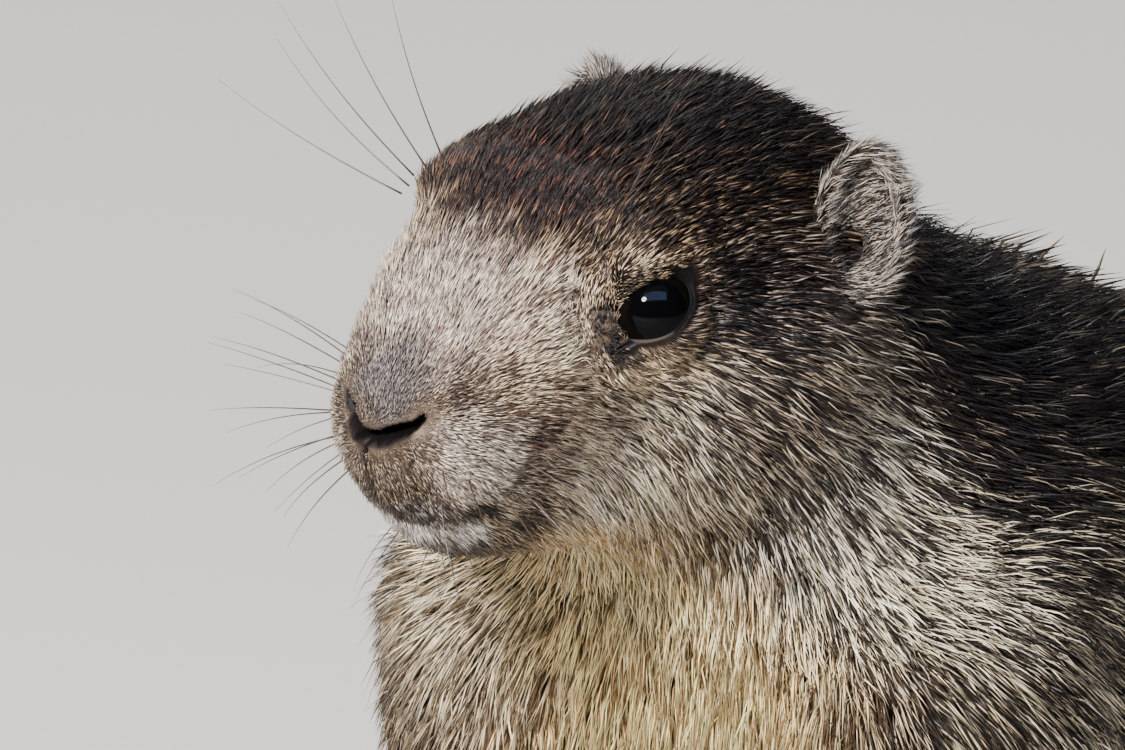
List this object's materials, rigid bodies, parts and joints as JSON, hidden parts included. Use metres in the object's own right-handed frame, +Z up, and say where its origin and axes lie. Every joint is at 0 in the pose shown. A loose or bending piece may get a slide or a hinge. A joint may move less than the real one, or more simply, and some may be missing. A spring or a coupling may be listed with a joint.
{
  "type": "alpine marmot",
  "caption": "Young alpine marmot at life size, half sitting on straight forelegs with its head up and turned right, as a still museum model.",
  "frame": {"origin": "on the ground under the middle of the whole animal", "axes": "-Y the way the body faces, +X its left side, +Z up"},
  "size_m": [0.1324, 0.3656, 0.1562],
  "materials": {
    "face_coat": "short grey-brown and cream fur",
    "crown_coat": "short black-brown fur",
    "mantle_coat": "long straw and silver fur over dark brown",
    "flank_coat": "long grizzled brown fur",
    "back_coat": "long dark grizzled fur",
    "leg_coat": "short straw-yellow fur",
    "tail_coat": "bushy dark brown fur, black at the tip",
    "ear_coat": "short grey fur",
    "nose_leather": "moist dark skin",
    "eye": "glossy black-brown",
    "claw": "dark horn",
    "whisker": "dark horn-like hair"
  },
  "bodies": {
    "root": {"muzzle_and_brow": "face_coat", "lower_jaw": "face_coat", "cranium": "crown_coat", "nose": "nose_leather", "ear_left": "ear_coat", "eye_left": "eye", "ear_right": "ear_coat", "eye_right": "eye", "neck": "mantle_coat", "chest": "mantle_coat", "trunk": "flank_coat", "rump": "back_coat", "tail_base": "tail_coat", "tail_tip": "tail_coat", "upper_arm_left": "mantle_coat", "forearm_left": "leg_coat", "thigh_left": "flank_coat", "upper_arm_right": "mantle_coat", "forearm_right": "leg_coat", "thigh_right": "flank_coat", "forefoot_left": "leg_coat", "claw_fore_left_1": "claw", "claw_fore_left_2": "claw", "claw_fore_left_3": "claw", "claw_fore_left_4": "claw", "forefoot_right": "leg_coat", "claw_fore_right_1": "claw", "claw_fore_right_2": "claw", "claw_fore_right_3": "claw", "claw_fore_right_4": "claw", "hind_foot_left": "leg_coat", "claw_hind_left_1": "claw", "claw_hind_left_2": "claw", "claw_hind_left_3": "claw", "claw_hind_left_4": "claw", "claw_hind_left_5": "claw", "hind_foot_right": "leg_coat", "claw_hind_right_1": "claw", "claw_hind_right_2": "claw", "claw_hind_right_3": "claw", "claw_hind_right_4": "claw", "claw_hind_right_5": "claw"}
  },
  "joints": []
}
